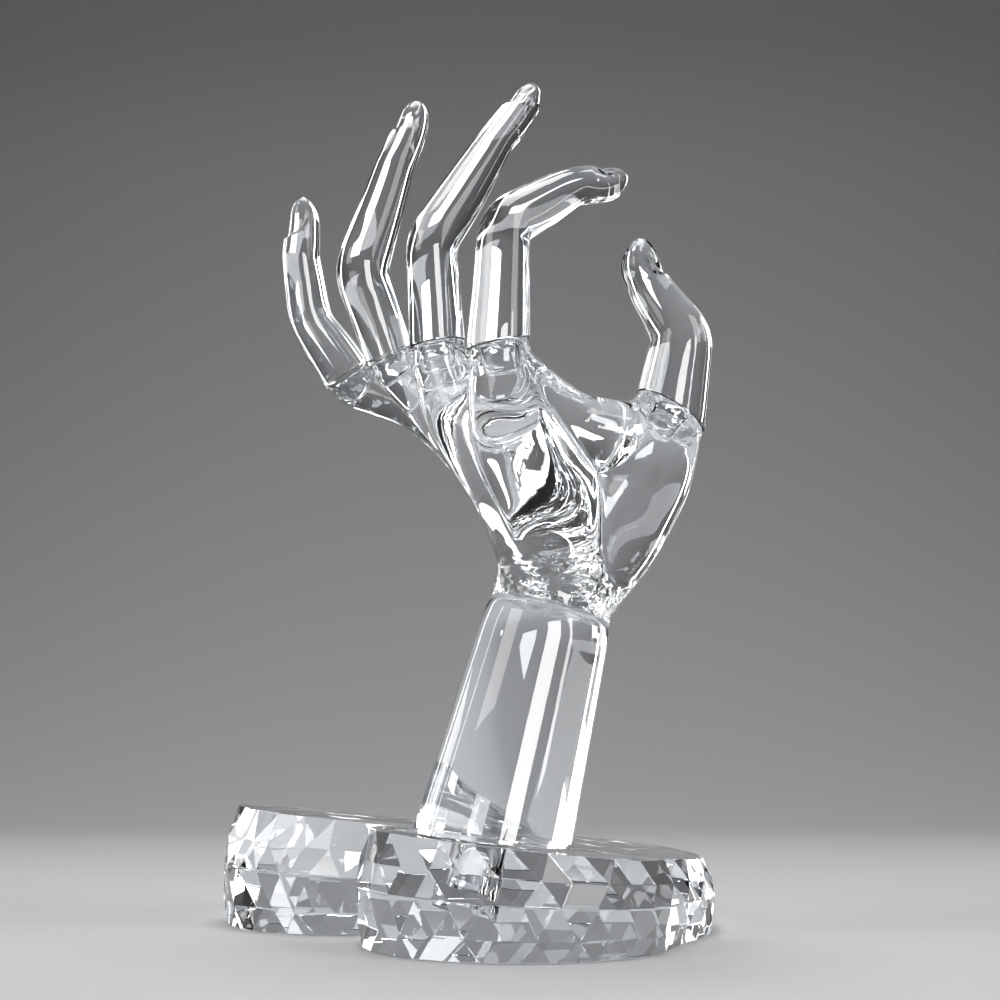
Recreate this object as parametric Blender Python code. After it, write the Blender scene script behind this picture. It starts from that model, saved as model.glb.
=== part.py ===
"""Nail practice hand: a clear acrylic hand on a leaning round arm, plugged into a cut heart stand.

The stand is a heart block with rows of three-sided facets, and its top falls away to the right.
The arm plugs into it on a slanting spigot and lifts out. The palm is cemented on the arm, and
each finger is a separate moulding with a peg that sits in a socket of the palm.
Sizes are in millimetres. +Z is up, +X is the way the arm leans, and the origin lies on the
underside of the stand, midway between the two lobes of the heart.
"""
import math
from typing import NamedTuple

import bmesh
import bpy
import numpy as np
from mathutils import Vector

MM = 0.001

# Heart stand: two round lobes, bulging sides and a rounded tip
LOBE_RADIUS = 36.0
LOBE_OFFSET = 31.0
TIP_REACH = 78.0
TIP_RADIUS = 15.5
SIDE_BULGE = 8.0
HEART_TURN = 38.5
STAND_HEIGHT = 23.5
TOP_FALL = 5.9

# Facet rows of the stand's wall, as shares of its height, and how far each row is drawn in
FACETS_AROUND = 60
BEVEL_SHARE = 0.17
MOULD_LINE_SHARE = 0.5
UPPER_ROW_SHARE = 0.75
FOOT_INSET = 1.4
BEVEL_INSET = 0.5
UPPER_ROW_INSET = 0.9
RIM_INSET = 3.0

# Arm: a leaning taper that stands on the near lobe, off the lobe's centre
ARM_FROM_LOBE_X = -5.7
ARM_FROM_LOBE_Y = -8.0
ARM_LEAN = 14.5
ARM_TURN = 8.0
ARM_LENGTH = 52.2
ARM_FOOT_RADIUS = 17.3
ARM_TOP_RADIUS = 14.2
ARM_SHOULDER = 2.2
ARM_FOOT_ROUND = 1.0
SPIGOT_RADIUS = 5.0
SPIGOT_LENGTH = 12.0
SPIGOT_SIDES = 32
ARM_SIDES = 48

# Fits between the mouldings
SEAT_GAP = 0.3
PEG_CLEARANCE = 0.3
SOCKET_SPARE = 0.6
PEG_RADIUS = 2.7
PEG_LENGTH = 5.5
PEG_ROUND = 1.4
PEG_SIDES = 20

# Finger form; a pad swells the palm side of each phalanx, most at the fingertip
BEND_SOFTNESS = 11.0
PAD_SWELL = (0.2, 0.35, 0.9)
TIP_ROUND = 1.7
FINGER_SIDES = 18
FINGER_STEP = 2.8

# Nail beds: shallow seats for the false nails
NAIL_LENGTH = 11.5
NAIL_DEPTH = 0.8
NAIL_WIDTH_SHARE = 0.86
NAIL_BASE_ROUND = 0.6
NAIL_SIDE = 0.8

# Palm form
PALM_GRAIN = 1.5
PALM_SMOOTHING = 10
PALM_KEEP = 0.24
WRIST_STUB = 7.0
WRIST_CORE = 11.0
SEAT_TRIM = 3.2


class Finger(NamedTuple):
    """A finger moulding: where it sits, how it bends and how thick it is."""
    root: tuple      # centre of the seat on the palm, from the centre of the wrist
    turn: float      # the way the finger curls, in degrees from +X
    lengths: tuple   # proximal, middle and distal phalanx
    leans: tuple     # each phalanx from upright, towards the curl
    radii: tuple     # root, half way, joint, half way, joint, fingertip
    seat_lean: float  # slope of the seat from level, towards the curl


FINGERS = {
    "index_finger": Finger((-11.6, -36.1, 51.6), 38.0, (27.3, 24.6, 17.6), (3.0, 54.0, 69.5),
                           (6.6, 5.9, 5.6, 5.1, 4.3, 3.3), -15.0),
    "middle_finger": Finger((-25.1, -21.1, 56.5), 38.0, (23.5, 35.3, 21.8), (-5.0, 31.5, 34.0),
                            (6.2, 5.7, 5.7, 5.2, 4.2, 3.3), -12.0),
    "ring_finger": Finger((-36.8, -5.1, 59.1), 38.0, (20.4, 31.8, 18.7), (-25.0, 17.5, 20.0),
                          (5.8, 5.7, 6.2, 5.2, 4.5, 3.2), -36.0),
    "little_finger": Finger((-48.4, 11.4, 59.5), 38.0, (16.3, 15.6, 15.6), (-43.0, -11.0, 1.0),
                            (6.3, 5.9, 5.1, 4.7, 4.5, 2.9), -44.0),
    "thumb": Finger((26.3, -18.1, 42.0), 180.0, (17.8, 14.6, 11.2), (-11.0, 33.0, 8.0),
                    (8.1, 7.4, 6.7, 5.6, 4.8, 3.9), -32.0),
}

# Rounded ridges that make up the palm: x, y and z of each station from the wrist, and its radius
PALM_RIDGES = {
    "index_finger": ((4.5, -2.6, 8.4, 12.0), (-1.0, -15.6, 25.4, 11.0), (-9.5, -29.1, 38.4, 9.0)),
    "middle_finger": ((2.0, 0.4, 8.4, 12.0), (-7.0, -8.6, 26.9, 10.5), (-20.0, -15.1, 42.9, 9.0)),
    "ring_finger": ((1.0, 3.4, 8.4, 11.5), (-6.5, 1.9, 25.4, 9.5), (-18.5, 0.4, 42.9, 9.0)),
    "little_finger": ((0.0, 6.9, 8.4, 11.0), (-4.0, 8.9, 22.9, 9.5), (-12.5, 11.9, 35.9, 8.5),
                      (-22.5, 12.9, 46.4, 7.5), (-32.5, 12.9, 52.9, 6.2)),
    "thumb": ((6.5, 0.9, 8.4, 12.0), (14.3, -4.1, 19.4, 12.5), (21.3, -9.6, 30.4, 11.2)),
}
THUMB_WEB = ((-4.0, -27.1, 42.9, 6.4), (4.5, -20.6, 38.9, 6.8), (17.5, -15.6, 36.4, 8.5))
PALM_CORE = ((2.5, -0.6, 11.4, 13.0), (-2.0, -6.6, 26.4, 12.0), (-11.5, -10.6, 39.4, 9.5))

CLEAR_TINT = (0.93, 0.95, 0.97, 1.0)
CLEAR_ROUGHNESS = 0.03
ACRYLIC_IOR = 1.49


def clear_acrylic(name):
    """A clear, polished acrylic with the faint cool tint of thick sections."""
    material = bpy.data.materials.new(name)
    material.use_nodes = True
    shader = material.node_tree.nodes["Principled BSDF"]
    shader.inputs["Base Color"].default_value = CLEAR_TINT
    shader.inputs["Roughness"].default_value = CLEAR_ROUGHNESS
    shader.inputs["Metallic"].default_value = 0.0
    shader.inputs["IOR"].default_value = ACRYLIC_IOR
    shader.inputs["Transmission Weight"].default_value = 1.0
    return material


def add_object(name, form, origin=(0.0, 0.0, 0.0), smooth=True):
    """Turn a finished bmesh, in millimetres, into a named object with its own origin."""
    bmesh.ops.translate(form, vec=-Vector(origin), verts=form.verts)
    bmesh.ops.scale(form, vec=(MM, MM, MM), verts=form.verts)
    bmesh.ops.recalc_face_normals(form, faces=form.faces)
    mesh = bpy.data.meshes.new(name)
    form.to_mesh(mesh)
    form.free()
    if smooth:
        mesh.shade_smooth()
        mesh.set_sharp_from_angle(angle=math.radians(40.0))
    piece = bpy.data.objects.new(name, mesh)
    piece.location = Vector(origin) * MM
    bpy.context.collection.objects.link(piece)
    return piece


def hide_cutter(piece):
    """Mark a shape that only cuts others."""
    piece.hide_render = True
    piece.display_type = "WIRE"
    return piece


def combine(piece, other, operation):
    """Join or cut a piece with another by a Boolean."""
    cut = piece.modifiers.new(other.name, "BOOLEAN")
    cut.operation = operation
    cut.object = other
    return hide_cutter(other)


def leaning(lean, turn):
    """Unit vector that leans from upright by one angle towards a compass direction."""
    tilt, way = math.radians(lean), math.radians(turn)
    return Vector((math.sin(tilt) * math.cos(way), math.sin(tilt) * math.sin(way), math.cos(tilt)))


def loft(rings, form=None):
    """Skin closed rings of equal length and cap both ends."""
    form = form or bmesh.new()
    rows = [[form.verts.new(point) for point in ring] for ring in rings]
    for low, high in zip(rows, rows[1:]):
        for k in range(len(low)):
            n = (k + 1) % len(low)
            form.faces.new((low[k], low[n], high[n], high[k]))
    form.faces.new(list(reversed(rows[0])))
    form.faces.new(rows[-1])
    return form


def circle(centre, axis, radius, sides, across=None):
    """Points of a circle square to an axis, counted from a reference direction."""
    axis = Vector(axis).normalized()
    across = Vector(across or ((1.0, 0.0, 0.0) if abs(axis.z) > 0.9 else (0.0, 0.0, 1.0)))
    side = (across - axis * across.dot(axis)).normalized()
    up = axis.cross(side)
    steps = (2 * math.pi * k / sides for k in range(sides))
    return [Vector(centre) + radius * (math.cos(a) * side + math.sin(a) * up) for a in steps]


def cylinder(start, axis, length, radius, sides):
    """A plain round bar as a bmesh."""
    end = Vector(start) + Vector(axis) * length
    return loft([circle(start, axis, radius, sides), circle(end, axis, radius, sides)])


def peg(tip, axis, length, radius, sides):
    """A round bar with a rounded tip, from the tip up."""
    axis = Vector(axis)
    rings = []
    for turn in (0.0, math.pi / 6, math.pi / 3, math.pi / 2):
        drawn_in = PEG_ROUND * (1 - math.sin(turn))
        rings.append(circle(tip + axis * PEG_ROUND * (1 - math.cos(turn)), axis, radius - drawn_in, sides))
    rings.append(circle(tip + axis * length, axis, radius, sides))
    return loft(rings)


def cut_flat(form, point, normal):
    """Cut away what lies on the normal's side of a plane and close the cut."""
    parts = form.verts[:] + form.edges[:] + form.faces[:]
    bmesh.ops.bisect_plane(form, geom=parts, plane_co=point, plane_no=normal, clear_outer=True)
    open_edges = [edge for edge in form.edges if edge.is_boundary]
    bmesh.ops.contextual_create(form, geom=open_edges)
    return form


# Heart stand

def heart_outline(inset):
    """Closed outline of the heart, drawn in by an inset, from the tip round and back."""
    lobe = LOBE_RADIUS - inset
    nose = TIP_RADIUS - inset
    centre = np.array([0.0, LOBE_OFFSET])
    nose_centre = np.array([TIP_REACH - TIP_RADIUS, 0.0])
    across = centre - nose_centre
    facing = math.atan2(across[1], across[0]) - math.acos((nose - lobe) / np.hypot(*across))
    outward = np.array([math.cos(facing), math.sin(facing)])
    notch = math.pi + math.asin(LOBE_OFFSET / lobe) if LOBE_OFFSET < lobe else 1.5 * math.pi
    start, end = nose_centre + nose * outward, centre + lobe * outward
    half = [nose_centre + nose * np.array([math.cos(a), math.sin(a)]) for a in np.linspace(0, facing, 24)]
    for share in np.linspace(0, 1, 60)[1:-1]:
        half.append(start + (end - start) * share + outward * SIDE_BULGE * 4 * share * (1 - share))
    half += [centre + lobe * np.array([math.cos(a), math.sin(a)]) for a in np.linspace(facing, notch, 90)]
    half = np.array(half)
    return np.vstack([half, half[-2:0:-1] * [1, -1]])


def facet_row(share, inset, half_step):
    """Evenly spaced corners of one row of facets, at a share of the stand's height."""
    outline = heart_outline(inset)
    closed = np.vstack([outline, outline[:1]])
    along = np.concatenate([[0.0], np.cumsum(np.hypot(*np.diff(closed, axis=0).T))])
    places = (np.arange(FACETS_AROUND) + 0.5 * half_step) / FACETS_AROUND * along[-1]
    x = np.interp(places, along, closed[:, 0])
    y = np.interp(places, along, closed[:, 1])
    turn = math.radians(HEART_TURN)
    world_x = x * math.cos(turn) - y * math.sin(turn)
    world_y = x * math.sin(turn) + y * math.cos(turn)
    return [(a, b, share * stand_top(a)) for a, b in zip(world_x, world_y)]


def stand_top(x):
    """Height of the sloping top above the underside."""
    return STAND_HEIGHT - x * math.tan(math.radians(TOP_FALL))


def make_stand():
    """The heart block, its wall cut in four bands of triangles."""
    rows = [(0.0, FOOT_INSET, 0), (BEVEL_SHARE, BEVEL_INSET, 1), (MOULD_LINE_SHARE, 0.0, 0),
            (UPPER_ROW_SHARE, UPPER_ROW_INSET, 1), (1.0, RIM_INSET, 0)]
    form = bmesh.new()
    rings = [[form.verts.new(point) for point in facet_row(*row)] for row in rows]
    for low, high, (_, _, half_step) in zip(rings, rings[1:], rows):
        for k in range(FACETS_AROUND):
            n = (k + 1) % FACETS_AROUND
            if half_step:
                form.faces.new((low[k], high[n], high[k]))
                form.faces.new((low[k], low[n], high[n]))
            else:
                form.faces.new((low[k], low[n], high[k]))
                form.faces.new((low[n], high[n], high[k]))
    form.faces.new(list(reversed(rings[0])))
    form.faces.new(rings[-1])
    stand = add_object("heart_stand", form, smooth=False)
    foot = arm_foot()
    axis = arm_axis()
    depth = SPIGOT_LENGTH + SOCKET_SPARE
    bore = cylinder(foot - axis * depth, axis, depth * 2, SPIGOT_RADIUS + PEG_CLEARANCE, SPIGOT_SIDES)
    combine(stand, add_object("stand_socket_cutter", bore), "DIFFERENCE")
    return stand


# Arm

def arm_axis():
    """Direction of the arm, from its foot to the wrist."""
    return leaning(ARM_LEAN, ARM_TURN)


def arm_foot():
    """Centre of the arm's foot on the top of the stand, a little off the near lobe's centre."""
    turn = math.radians(HEART_TURN)
    x = LOBE_OFFSET * math.sin(turn) + ARM_FROM_LOBE_X
    y = -LOBE_OFFSET * math.cos(turn) + ARM_FROM_LOBE_Y
    return Vector((x, y, stand_top(x)))


def wrist_centre():
    """Centre of the arm's top face."""
    return arm_foot() + arm_axis() * ARM_LENGTH


def make_arm():
    """The tapered column: foot cut flush with the stand, rounded shoulder, slanting spigot."""
    foot, axis = arm_foot(), arm_axis()
    slope = (ARM_FOOT_RADIUS - ARM_TOP_RADIUS) / ARM_LENGTH
    overrun = ARM_FOOT_RADIUS
    rings = [circle(foot - axis * overrun, axis, ARM_FOOT_RADIUS + slope * overrun, ARM_SIDES)]
    straight = ARM_LENGTH - ARM_SHOULDER
    rings.append(circle(foot + axis * straight, axis, ARM_FOOT_RADIUS - slope * straight, ARM_SIDES))
    for turn in np.linspace(0, math.pi / 2, 5)[1:]:
        reach = straight + ARM_SHOULDER * math.sin(turn)
        radius = ARM_TOP_RADIUS - ARM_SHOULDER * (1 - math.cos(turn))
        rings.append(circle(foot + axis * reach, axis, radius, ARM_SIDES))
    form = loft(rings)
    fall = math.radians(TOP_FALL)
    upright = Vector((math.sin(fall), 0.0, math.cos(fall)))
    cut_flat(form, foot + upright * SEAT_GAP, -upright)
    cut_edges = [edge for edge in form.edges if all(
        abs((vert.co - foot).dot(upright) - SEAT_GAP) < 0.001 for vert in edge.verts)]
    bmesh.ops.bevel(form, geom=cut_edges, offset=ARM_FOOT_ROUND, segments=3, affect="EDGES")
    arm = add_object("forearm", form, foot)
    rooted = SPIGOT_LENGTH + SPIGOT_RADIUS
    spigot = cylinder(foot - axis * SPIGOT_LENGTH, axis, rooted, SPIGOT_RADIUS, SPIGOT_SIDES)
    combine(arm, add_object("spigot_form", spigot), "UNION")
    return arm


# Fingers

def soften(values, span):
    """Moving average that rounds the corners of a run of samples and keeps its ends."""
    count = max(int(span), 1)
    weights = np.hanning(count + 2)[1:-1]
    weights /= weights.sum()
    head = 2 * values[0] - values[count:0:-1]
    tail = 2 * values[-1] - values[-2:-count - 2:-1]
    padded = np.concatenate([head, values, tail])
    mixed = np.array([np.convolve(column, weights, "same") for column in padded.T]).T
    return mixed[count:count + len(values)]


def root_centre(finger):
    """Centre of a finger's seat, carried by the wrist."""
    return wrist_centre() + Vector(finger.root)


def finger_path(finger, below):
    """Samples along a finger's centre line, one per millimetre, with its radius and the swell of its pads."""
    joints = [root_centre(finger)]
    for length, lean in zip(finger.lengths, finger.leans):
        joints.append(joints[-1] + leaning(lean, finger.turn) * length)
    joints.insert(0, joints[0] - leaning(finger.leans[0], finger.turn) * below)
    points = np.array([list(joint) for joint in joints])
    reach = np.concatenate([[0.0], np.cumsum(np.linalg.norm(np.diff(points, axis=0), axis=1))]) - below
    knees = reach[1:]
    stations = [-below, knees[0], (knees[0] + knees[1]) / 2, knees[1], (knees[1] + knees[2]) / 2,
                knees[2], knees[3]]
    radii = (finger.radii[0],) + finger.radii
    samples = np.arange(-below, knees[-1] + 0.001, 1.0)
    path = np.array([np.interp(samples, reach, points[:, axis]) for axis in range(3)]).T
    thick = np.interp(samples, stations, radii)
    path = soften(path, BEND_SOFTNESS)
    thick = soften(thick[:, None], BEND_SOFTNESS)[:, 0]
    pads = np.zeros(len(samples))
    for start, end, swell in zip(knees, knees[1:], PAD_SWELL):
        pads += swell * np.sin(np.pi * np.clip((samples - start) / (end - start), 0.0, 1.0))
    return samples, path, thick, pads


def finger_form(finger, shrink=0.0):
    """Round tapered finger as a bmesh, from its seat to a rounded tip."""
    below = 2.0 * finger.radii[0]
    samples, path, thick, pads = finger_path(finger, below)
    end = samples[-1]
    rounding = TIP_ROUND * finger.radii[-1]
    body = list(np.arange(-below, end - rounding, FINGER_STEP))
    crown = [end - rounding * (1 - math.sin(a)) for a in np.linspace(0, math.pi / 2, 7)[:-1]]
    crown.append(end - 0.02 * rounding)
    plane = leaning(90.0, finger.turn + 90.0)
    rings = []
    for place in body + crown:
        centre = Vector([np.interp(place, samples, path[:, axis]) for axis in range(3)])
        ahead = Vector([np.interp(place + 1.0, samples, path[:, axis]) for axis in range(3)])
        behind = Vector([np.interp(place - 1.0, samples, path[:, axis]) for axis in range(3)])
        radius = float(np.interp(place, samples, thick))
        past = (place - (end - rounding)) / rounding
        if past > 0:
            radius *= math.sqrt(max(1 - past * past, 0.0))
        ring = circle(centre, ahead - behind, max(radius - shrink, 0.15), FINGER_SIDES, plane)
        inward = plane.cross(ahead - behind).normalized()
        swell = float(np.interp(place, samples, pads)) * radius / float(np.interp(place, samples, thick))
        facing = [max((point - centre).normalized().dot(inward), 0.0) for point in ring]
        rings.append([point + inward * swell * share for point, share in zip(ring, facing)])
    return loft(rings)


def nail_cutter(name, finger):
    """What a nail bed takes out of a fingertip: a round-ended slab less the finger's core."""
    samples, path, thick, _ = finger_path(finger, 0.0)
    tip, back = Vector(path[-1]), Vector(path[-1 - round(NAIL_LENGTH)])
    ahead = (tip - back).normalized()
    across = leaning(90.0, finger.turn + 90.0)
    out = across.cross(ahead).normalized()
    curl = leaning(90.0, finger.turn)
    if out.dot(curl) > 0:
        out = -out
    thickness = float(thick[-1 - round(NAIL_LENGTH)])
    half = NAIL_WIDTH_SHARE * thickness
    bow = NAIL_BASE_ROUND * half
    base = tip - ahead * (NAIL_LENGTH - bow)
    outline = [base + half * math.cos(a) * across - bow * math.sin(a) * ahead for a in np.linspace(0, math.pi, 11)]
    outline += [tip + ahead * thickness + across * half * side for side in (-1.0, 1.0)]
    low = [point + out * NAIL_SIDE for point in outline]
    high = [point + out * 2.0 * thickness for point in outline]
    slab = add_object(name + "_nail_slab", loft([low, high]))
    core = add_object(name + "_nail_core", finger_form(finger, NAIL_DEPTH))
    combine(slab, core, "DIFFERENCE")
    return slab


def seat(finger):
    """Centre and outward direction of a finger's seat on the palm."""
    return root_centre(finger), leaning(finger.seat_lean, finger.turn)


def make_finger(name, finger):
    """A finger with its nail bed and the peg that holds it in the palm."""
    centre, outward = seat(finger)
    form = cut_flat(finger_form(finger), centre + outward * SEAT_GAP, -outward)
    piece = add_object(name, form, centre)
    rooted = peg(centre - outward * PEG_LENGTH, outward, PEG_LENGTH + PEG_RADIUS, PEG_RADIUS, PEG_SIDES)
    combine(piece, add_object(name + "_peg_form", rooted), "UNION")
    combine(piece, nail_cutter(name, finger), "DIFFERENCE")
    return piece


# Palm

def ridge(form, stations):
    """Add a rounded ridge through stations of centre and radius to a form."""
    stations = np.array(stations, dtype=float)
    reach = np.concatenate([[0.0], np.cumsum(np.linalg.norm(np.diff(stations[:, :3], axis=0), axis=1))])
    samples = np.arange(0.0, reach[-1], 1.0)
    run = np.array([np.interp(samples, reach, stations[:, axis]) for axis in range(4)]).T
    run = soften(run, BEND_SOFTNESS)
    rings = []
    for k in range(0, len(run), 2):
        ahead = run[min(k + 1, len(run) - 1), :3] - run[max(k - 1, 0), :3]
        rings.append(circle(run[k, :3], ahead, float(run[k, 3]), 24, (0.0, 1.0, 0.0)))
    loft(rings, form)


def from_wrist(stations):
    """Stations of a ridge carried by the wrist."""
    wrist = wrist_centre()
    return [tuple(wrist + Vector(station[:3])) + (station[3],) for station in stations]


def make_palm():
    """The palm: ridges from the wrist to each seat, melted into one skin and then cut to fit."""
    form = bmesh.new()
    wrist, axis = wrist_centre(), arm_axis()
    stub = (-WRIST_STUB, 0.0, WRIST_STUB)
    ridge(form, [tuple(wrist + axis * reach) + (ARM_TOP_RADIUS,) for reach in stub])
    for name, stations in PALM_RIDGES.items():
        finger = FINGERS[name]
        forward = leaning(finger.leans[0], finger.turn)
        thick = finger.radii[0]
        seated = tuple(root_centre(finger) - forward * thick / 3) + (thick,)
        beyond = tuple(root_centre(finger) + forward * thick * 1.4) + (thick,)
        ridge(form, [tuple(wrist) + (WRIST_CORE,)] + from_wrist(stations) + [seated, beyond])
    ridge(form, from_wrist(THUMB_WEB))
    ridge(form, from_wrist(PALM_CORE))
    palm = add_object("palm", form, wrist)
    melt = palm.modifiers.new("melt", "REMESH")
    melt.mode = "VOXEL"
    melt.voxel_size = PALM_GRAIN * MM
    ease = palm.modifiers.new("ease", "SMOOTH")
    ease.factor = 0.5
    ease.iterations = PALM_SMOOTHING
    thin = palm.modifiers.new("thin", "DECIMATE")
    thin.ratio = PALM_KEEP
    below = cylinder(wrist + axis * SEAT_GAP, -axis, 2.0 * ARM_TOP_RADIUS, 1.5 * ARM_TOP_RADIUS, ARM_SIDES)
    combine(palm, add_object("wrist_cutter", below), "DIFFERENCE")
    for name, finger in FINGERS.items():
        centre, outward = seat(finger)
        trim = finger.radii[0] + SEAT_TRIM
        above = cylinder(centre, outward, 2.0 * trim, trim, SPIGOT_SIDES)
        combine(palm, add_object(name + "_seat_cutter", above), "DIFFERENCE")
        depth = PEG_LENGTH + SOCKET_SPARE
        bore = peg(centre - outward * depth, outward, depth + trim, PEG_RADIUS + PEG_CLEARANCE, PEG_SIDES)
        combine(palm, add_object(name + "_socket_cutter", bore), "DIFFERENCE")
    return palm


def main():
    """Clear the scene, build every piece, and hang the palm and the fingers on the arm."""
    for piece in list(bpy.data.objects):
        bpy.data.objects.remove(piece, do_unlink=True)
    stand, arm = make_stand(), make_arm()
    carried = [make_palm()] + [make_finger(name, finger) for name, finger in FINGERS.items()]
    for piece in carried:
        piece.parent = arm
        piece.location -= arm.location
    for piece in [stand, arm] + carried:
        piece.data.materials.append(clear_acrylic(piece.name + "_acrylic"))


main()
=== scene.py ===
"""Looks of a nail practice hand: clear acrylic mouldings on a cut heart stand.

Each piece is rebuilt finer than its solid in the frame, from the same sizes, and rides on its body.
The tables and the shapes are in millimetres. The settings and the stage are in metres.
"""
import math
from typing import NamedTuple

import bmesh
import bpy
import numpy as np
from bpy.props import FloatProperty, FloatVectorProperty, IntProperty, PointerProperty
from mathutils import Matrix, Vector, noise


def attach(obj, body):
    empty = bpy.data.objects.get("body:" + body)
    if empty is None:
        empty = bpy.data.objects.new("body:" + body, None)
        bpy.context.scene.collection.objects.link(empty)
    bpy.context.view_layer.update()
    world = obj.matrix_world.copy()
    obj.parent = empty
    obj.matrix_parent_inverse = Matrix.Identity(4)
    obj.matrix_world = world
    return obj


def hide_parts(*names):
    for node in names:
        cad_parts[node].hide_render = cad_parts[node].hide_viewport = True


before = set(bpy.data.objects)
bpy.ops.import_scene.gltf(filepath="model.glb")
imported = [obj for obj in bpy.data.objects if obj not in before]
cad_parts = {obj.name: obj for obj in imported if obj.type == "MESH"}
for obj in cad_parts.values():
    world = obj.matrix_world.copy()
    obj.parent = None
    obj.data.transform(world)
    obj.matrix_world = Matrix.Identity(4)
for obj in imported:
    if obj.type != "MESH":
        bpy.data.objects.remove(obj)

bl_info = {
    "name": "Nail practice hand",
    "version": (1, 0, 0),
    "blender": (4, 5, 0),
    "location": "View3D > Sidebar > Practice Hand",
    "description": "Builds a clear acrylic display hand on a cut heart stand",
    "category": "Add Mesh",
}

MM = 0.001
HAIR = 0.05  # how near to a plane a face's centre counts as on it, in millimetres
WHITE = (1.0, 1.0, 1.0)
SHARP_EDGE = math.radians(40.0)  # edges of the hand steeper than this stay sharp
CUT_EDGE = math.radians(1.5)  # the same on the stand, whose facets meet at small angles

# Points round and along the turned and lofted shapes
ARM_SIDES, BAR_SIDES, CUTTER_SIDES, RIDGE_SIDES = 160, 64, 96, 96
TAPER_POINTS, SHOULDER_POINTS, DISH_POINTS, DOME_POINTS = 12, 14, 24, 10
NOSE_POINTS, SIDE_POINTS, LOBE_POINTS = 24, 60, 90
FOOT_ROUND_STEPS = 8
RIDGE_STEP = 0.5
SMALLEST_RING = 0.01


class Finger(NamedTuple):
    """A finger moulding in millimetres and degrees.

    root is its seat's centre from the wrist, and turn the way that it leans. lengths and leans are those of its
    three bones, and seat_lean is its seat's. radii are its radius at the seat, halfway and at the end of the first
    two bones, and at the tip.
    """
    root: tuple
    turn: float
    lengths: tuple
    leans: tuple
    radii: tuple
    seat_lean: float


FINGERS = {
    "index_finger": Finger((-11.6, -36.1, 51.6), 38.0, (27.3, 24.6, 17.6), (3.0, 54.0, 69.5),
                           (6.6, 5.9, 5.6, 5.1, 4.3, 3.3), -15.0),
    "middle_finger": Finger((-25.1, -21.1, 56.5), 38.0, (23.5, 35.3, 21.8), (-5.0, 31.5, 34.0),
                            (6.2, 5.7, 5.7, 5.2, 4.2, 3.3), -12.0),
    "ring_finger": Finger((-36.8, -5.1, 59.1), 38.0, (20.4, 31.8, 18.7), (-25.0, 17.5, 20.0),
                          (5.8, 5.7, 6.2, 5.2, 4.5, 3.2), -36.0),
    "little_finger": Finger((-48.4, 11.4, 59.5), 38.0, (16.3, 15.6, 15.6), (-43.0, -11.0, 1.0),
                            (6.3, 5.9, 5.1, 4.7, 4.5, 2.9), -44.0),
    "thumb": Finger((26.3, -18.1, 42.0), 180.0, (17.8, 14.6, 11.2), (-11.0, 33.0, 8.0),
                    (8.1, 7.4, 6.7, 5.6, 4.8, 3.9), -32.0),
}

# Rounded ridges that make up the palm: x, y and z of each station from the wrist, and its radius
PALM_RIDGES = {
    "index_finger": ((4.5, -2.6, 8.4, 12.0), (-1.0, -15.6, 25.4, 11.0), (-9.5, -29.1, 38.4, 9.0)),
    "middle_finger": ((2.0, 0.4, 8.4, 12.0), (-7.0, -8.6, 26.9, 10.5), (-20.0, -15.1, 42.9, 9.0)),
    "ring_finger": ((1.0, 3.4, 8.4, 11.5), (-6.5, 1.9, 25.4, 9.5), (-18.5, 0.4, 42.9, 9.0)),
    "little_finger": ((0.0, 6.9, 8.4, 11.0), (-4.0, 8.9, 22.9, 9.5), (-12.5, 11.9, 35.9, 8.5),
                      (-22.5, 12.9, 46.4, 7.5), (-32.5, 12.9, 52.9, 6.2)),
    "thumb": ((6.5, 0.9, 8.4, 12.0), (14.3, -4.1, 19.4, 12.5), (21.3, -9.6, 30.4, 11.2)),
}
THUMB_WEB = ((-9.0, -33.0, 47.5, 5.8), (-2.5, -27.0, 42.2, 6.4), (4.5, -20.6, 38.5, 6.9),
             (17.5, -15.6, 36.2, 8.5))
PALM_CORE = ((2.5, -0.6, 11.4, 13.0), (-2.0, -6.6, 26.4, 12.0), (-11.5, -10.6, 39.4, 9.5))
WRIST_STUB = 7.0  # how far the round wrist runs on into the palm
WRIST_CORE = 11.0  # radius with which each ridge leaves the wrist
SEAT_TRIM = 3.2  # how far past a finger's radius its seat is cut flat
BEND_SOFTNESS = 11.0  # length over which a ridge of the palm rounds its bends
KNUCKLE_SOFTNESS = 14.0  # length over which a finger rounds its bends
PAD_SWELL = (0.2, 0.35, 0.9)  # swell of the pad on each bone of a finger
PAD_SOFTNESS = 2.0  # length over which one pad runs into the next
TIP_ROUND = 2.1  # length of the fingertip's rounding, as a share of its radius
TIP_TURNS = np.radians(np.append(np.linspace(0, 86, 34), (88.0, 89.6)))  # rings of the tip, on its quarter turn
NAIL_RUN_OUT = 9.0  # length over which a nail bed fades towards the tip
NAIL_FLANK, NAIL_RISE = 0.5, 0.6  # over the finger's middle, where a nail bed starts and how far it deepens
NAIL_MARGIN = 1.0
NAIL_DEEPEST = 0.8  # most that a nail bed takes of the finger's radius
PALM_EASE = 0.5  # strength of each round of smoothing

# Where the moulding's back is wrinkled: x, y and z of each station from the wrist, and its radius
WRINKLED_BACK = ((-25.0, 5.0, 38.0, 9.0), (-12.0, 7.0, 22.0, 12.0), (6.0, 9.0, 6.0, 14.0))
WRINKLE_DEPTH = 1.0
WRINKLE_SIZE = (0.16, 0.16, 0.42)  # wrinkles per millimetre along x, y and z
WRINKLE_OCTAVES = 3
SEAT_WRINKLES = 6.0  # how far the wrinkles run down from a seat
WRIST_WRINKLES = 13.0  # how far the wrinkles run up from the wrist
WRIST_DISH = 2.4  # depth of the hollow in the arm's top, which the cement fills
DISH_RINGS = (0.96, 0.02)  # first and last ring of the hollow, as shares of its radius
DISH_SHARE = 0.93  # the share of the hollow, from its middle, that is wrinkled

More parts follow.
